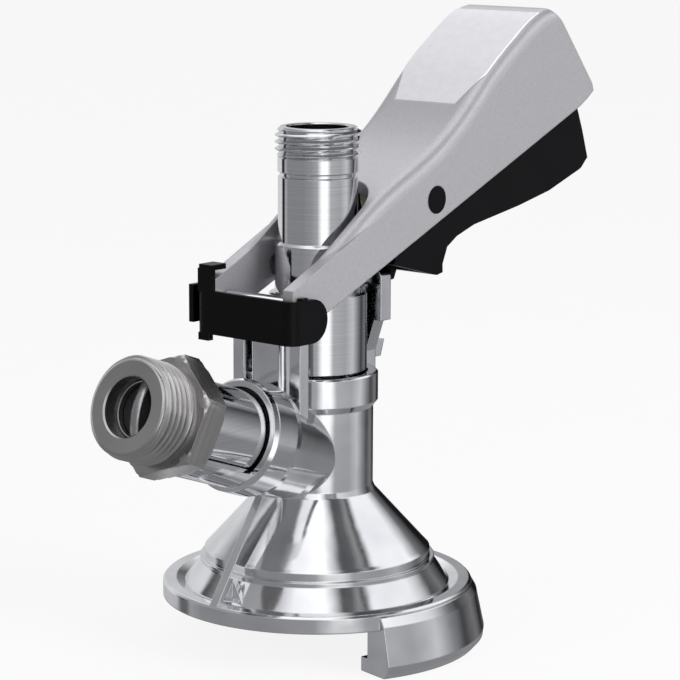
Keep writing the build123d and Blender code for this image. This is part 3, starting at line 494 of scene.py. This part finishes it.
# ---- studio -----------------------------------------------------------------
def studio():
    """White cove for the eye, banded soft boxes for what shines, a plain level for what doesn't."""
    world = bpy.data.worlds.new("studio")
    bpy.context.scene.world = world
    world.use_nodes = True
    tree = world.node_tree
    tree.nodes.clear()
    way = add(tree, "ShaderNodeSeparateXYZ", Vector=add(tree, "ShaderNodeTexCoord").outputs["Generated"])
    around = add(tree, "ShaderNodeMath", {"operation": "ARCTAN2"}, _0=way.outputs[1], _1=way.outputs[0])
    share = spread(tree, around.outputs[0], 0.0, 1.0, -math.pi, math.pi)
    bands = add(tree, "ShaderNodeValToRGB", Fac=share)
    stops(bands, [
        (0.0, "#7E7E80"), (0.06, "#88888A"), (0.11, "#9C9C9E"), (0.145, "#FFFFFF"), (0.185, "#FFFFFF"),
        (0.215, "#A6A6A8"), (0.30, "#9A9A9C"), (0.36, "#B8B8BA"), (0.41, "#7A7A7C"), (0.45, "#3A3A3C"),
        (0.50, "#6A6A6C"), (0.545, "#141416"), (0.585, "#101012"), (0.62, "#B4B4B6"), (0.76, "#C8C8CA"),
        (0.775, "#1A1A1C"), (0.80, "#202021"), (0.815, "#A0A0A2"), (0.85, "#7C7C7E"),
    ])
    across = add(tree, "ShaderNodeVectorMath", {"operation": "DOT_PRODUCT"},
                 _0=way.inputs[0].links[0].from_socket, _1=STRIP_WAY)
    strips = add(tree, "ShaderNodeValToRGB", Fac=spread(tree, across.outputs["Value"], 0.0, 1.0, -1.0))
    stops(strips, [
        (0.0, "#8A8A8C"), (0.2, "#909092"), (0.28, "#BCBCBE"), (0.36, "#F0F0F2"), (0.55, "#FFFFFF"),
        (0.60, "#C8C8CA"), (0.65, "#4C4C4E"), (0.71, "#565658"), (0.75, "#868688"), (0.78, "#383839"),
        (0.81, "#ECECEE"), (1.0, "#DADADC"),
    ])
    height = spread(tree, way.outputs[2], 0.0, 1.0, -1.0)
    high = add(tree, "ShaderNodeValToRGB", Fac=height)
    stops(high, [(0.66, "#000000"), (0.76, "#FFFFFF")])
    dome = add(tree, "ShaderNodeMix", {"data_type": "RGBA"}, _0=high.outputs[0], _6=bands.outputs[0],
               _7=strips.outputs[0])
    under = add(tree, "ShaderNodeValToRGB", Fac=height)
    stops(under, [(0.32, "#FFFFFF"), (0.40, "#000000")])
    whole = add(tree, "ShaderNodeMix", {"data_type": "RGBA"}, _0=under.outputs[0], _6=dome.outputs[2],
                _7=linear("#7C7C7E"))
    seen = add(tree, "ShaderNodeLightPath")
    shine = add(tree, "ShaderNodeBackground", Color=whole.outputs[2], Strength=1.5)
    plain = add(tree, "ShaderNodeBackground", Color=linear("#FFFFFF"), Strength=0.5)
    white = add(tree, "ShaderNodeBackground", Color=linear("#FFFFFF"), Strength=1.0)
    level = add(tree, "ShaderNodeMixShader", _0=seen.outputs["Is Glossy Ray"], _1=plain.outputs[0],
                _2=shine.outputs[0])
    clear = add(tree, "ShaderNodeMath", {"operation": "MAXIMUM"}, _0=seen.outputs["Is Camera Ray"],
                _1=seen.outputs["Is Transmission Ray"])
    final = add(tree, "ShaderNodeMixShader", _0=clear.outputs[0], _1=level.outputs[0], _2=white.outputs[0])
    add(tree, "ShaderNodeOutputWorld", Surface=final.outputs[0])


def floor():
    """Pale table top that runs out of view and keeps the object's soft shadow."""
    made = bpy.data.materials.new("pale_table")
    made.use_nodes = True
    tree = made.node_tree
    tree.nodes.clear()
    speck = add(tree, "ShaderNodeTexNoise", Vector=place(tree, 30.0), Scale=1.0)
    paint = add(tree, "ShaderNodeBsdfDiffuse", Color=tint(tree, speck.outputs[0], "#E9E9E9", "#EEEEEE"))
    glow = add(tree, "ShaderNodeEmission", Color=linear("#FFFFFF"), Strength=1.0)
    seen = add(tree, "ShaderNodeLightPath")
    clear = add(tree, "ShaderNodeMath", {"operation": "MULTIPLY"}, _0=seen.outputs["Is Camera Ray"], _1=0.88)
    seen_whole = add(tree, "ShaderNodeMixShader", _0=clear.outputs[0], _1=paint.outputs[0], _2=glow.outputs[0])
    # polished metal looks through the table to the studio, as it would over a small stand
    through = add(tree, "ShaderNodeBsdfTransparent")
    both = add(tree, "ShaderNodeMixShader", _0=seen.outputs["Is Glossy Ray"], _1=seen_whole.outputs[0],
               _2=through.outputs[0])
    add(tree, "ShaderNodeOutputMaterial", Surface=both.outputs[0])
    low = cad_box[0][2]
    reach = TABLE_REACH * MM
    mesh = bpy.data.meshes.new("table")
    corners = [(-reach, -reach, low), (reach, -reach, low), (reach, reach, low), (-reach, reach, low)]
    mesh.from_pydata(corners, [], [(0, 1, 2, 3)])
    top = bpy.data.objects.new("table", mesh)
    bpy.context.scene.collection.objects.link(top)
    top.data.materials.append(made)


def softbox(name, place_mm, size_mm, watts):
    """Rectangular soft light aimed at the middle of the object."""
    lamp = bpy.data.lights.new(name, "AREA")
    lamp.shape = "RECTANGLE"
    lamp.size, lamp.size_y = (s * MM for s in size_mm)
    lamp.energy = watts
    made = bpy.data.objects.new(name, lamp)
    bpy.context.scene.collection.objects.link(made)
    made.location = Vector(place_mm) * MM
    aim = Vector(LAMP_AIM) * MM - made.location
    made.rotation_euler = aim.to_track_quat("-Z", "Y").to_euler()
    made.visible_glossy = False      # polished metal shows the studio's own bands


def camera():
    """Long lens from the nipple's side, a little above the object."""
    lens = bpy.data.cameras.new("camera")
    lens.sensor_width = 36.0
    lens.lens = CAMERA_LENS
    lens.clip_start = 0.01
    lens.dof.use_dof = False
    made = bpy.data.objects.new("camera", lens)
    bpy.context.scene.collection.objects.link(made)
    heading, dip, roll = (math.radians(turn) for turn in (CAMERA_HEADING, CAMERA_DIP, CAMERA_ROLL))
    ahead = Vector((math.sin(heading) * math.cos(dip), math.cos(heading) * math.cos(dip), -math.sin(dip)))
    right = Vector((math.cos(heading), -math.sin(heading), 0))
    up = right.cross(ahead)
    side = right * math.cos(roll) + up * math.sin(roll)
    top = up * math.cos(roll) - right * math.sin(roll)
    turn = Matrix((side, top, -ahead)).transposed()
    made.matrix_world = Matrix.Translation(Vector(CAMERA_PLACE) * MM) @ turn.to_4x4()
    bpy.context.scene.camera = made


studio()
floor()
softbox("key", (100, -1000, 420), (500, 500), 9.5)
softbox("fill", (-1000, 100, 350), (600, 600), 1.6)
softbox("overhead", (100, 100, 1000), (500, 500), 0.7)
camera()
bpy.context.scene.view_settings.view_transform = "Standard"
